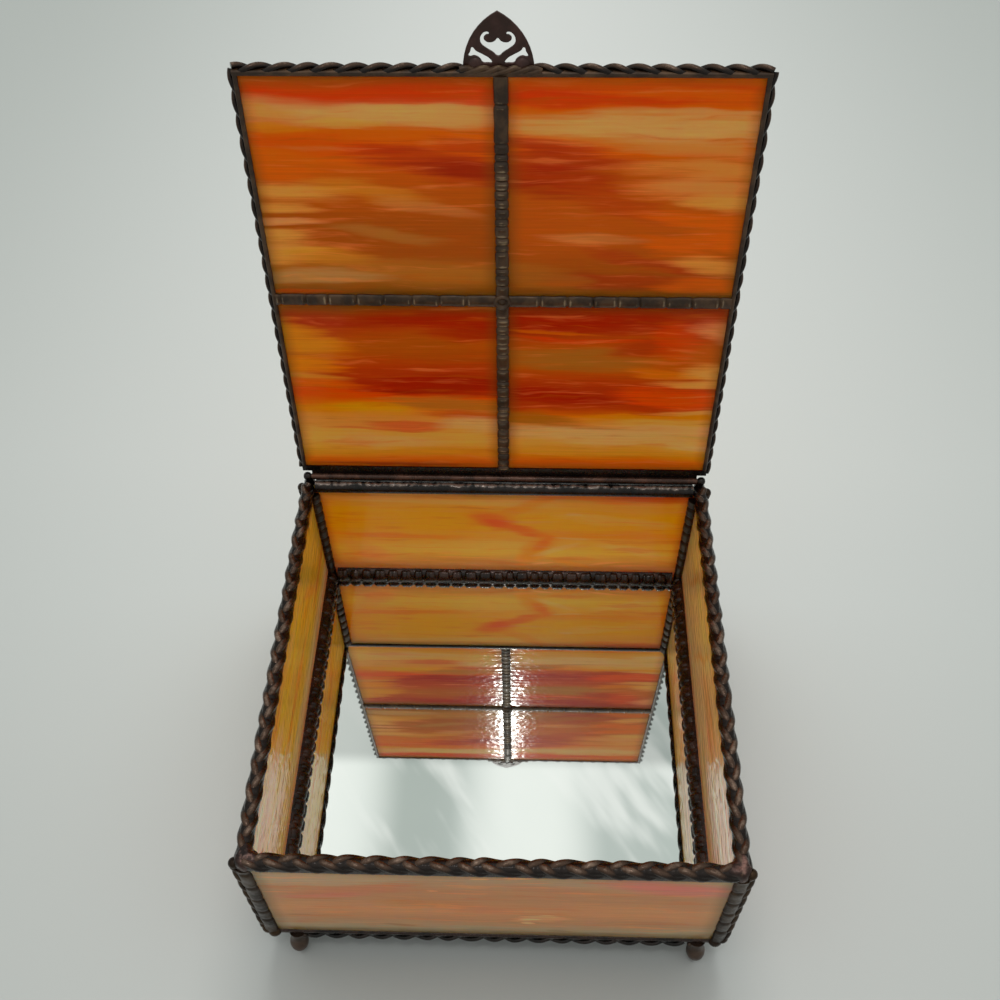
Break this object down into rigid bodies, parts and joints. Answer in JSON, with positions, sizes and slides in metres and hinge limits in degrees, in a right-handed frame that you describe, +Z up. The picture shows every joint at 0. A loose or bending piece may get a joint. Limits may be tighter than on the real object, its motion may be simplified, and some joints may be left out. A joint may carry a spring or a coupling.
{
  "type": "stained glass keepsake box",
  "caption": "Square box of streaky stained glass walls on a mirror base with ball feet, edged in soldered wire braid, under a hinged lid of square panes with a pointed pull.",
  "frame": {"origin": "centre of the mirror's underside, 13 mm above the ground under the feet", "axes": "+X along the hinge towards the viewer's right, +Y from the front wall to the hinged back wall, +Z up; the lid is stored open, 96 degrees from shut"},
  "size_m": [0.1576, 0.175, 0.2467],
  "materials": {
    "wall_glass": "gloss",
    "lid_glass": "gloss",
    "mirror": "polished",
    "solder": "gloss",
    "braid_wire": "gloss",
    "hinge_brass": "satin",
    "brass": "satin",
    "stamping": "satin"
  },
  "bodies": {
    "box": {"base_mirror": "mirror", "front_wall": "wall_glass", "back_wall": "wall_glass", "left_wall": "wall_glass", "right_wall": "wall_glass", "corner_seam_front_left": "solder", "corner_seam_front_right": "solder", "corner_seam_back_left": "solder", "corner_seam_back_right": "solder", "corner_wire_front_left": "braid_wire", "corner_wire_front_right": "braid_wire", "corner_wire_back_left": "braid_wire", "corner_wire_back_right": "braid_wire", "base_seam_front": "solder", "base_seam_back": "solder", "base_seam_left": "solder", "base_seam_right": "solder", "base_wire_front": "braid_wire", "base_wire_back": "braid_wire", "base_wire_left": "braid_wire", "base_wire_right": "braid_wire", "foot_front_left": "brass", "foot_front_right": "brass", "foot_back_left": "brass", "foot_back_right": "brass", "rim_foil_front": "solder", "rim_foil_left": "solder", "rim_foil_right": "solder", "rim_bead_back": "solder", "rim_braid_front": "braid_wire", "rim_braid_left": "braid_wire", "rim_braid_right": "braid_wire", "rim_corner_left": "solder", "rim_corner_right": "solder", "hinge_rod": "hinge_brass", "rod_solder_left": "solder", "rod_solder_right": "solder"},
    "lid": {"lid_pane_front_left": "lid_glass", "lid_pane_front_right": "lid_glass", "lid_pane_back_left": "lid_glass", "lid_pane_back_right": "lid_glass", "lid_seam_front": "solder", "lid_seam_back": "solder", "lid_seam_left": "solder", "lid_seam_right": "solder", "lid_knot": "solder", "lid_edge_front": "solder", "lid_edge_back": "solder", "lid_edge_left": "solder", "lid_edge_right": "solder", "lid_braid_front_left": "braid_wire", "lid_braid_front_right": "braid_wire", "lid_braid_left": "braid_wire", "lid_braid_right": "braid_wire", "hinge_tube": "hinge_brass", "lid_pull": "stamping"}
  },
  "joints": [
    {"name": "lid_hinge", "type": "hinge", "parent": "box", "child": "lid", "pos_m": [0, 0.0763, 0.0609], "axis": [1, 0, 0], "range_deg": [0, 96]}
  ]
}
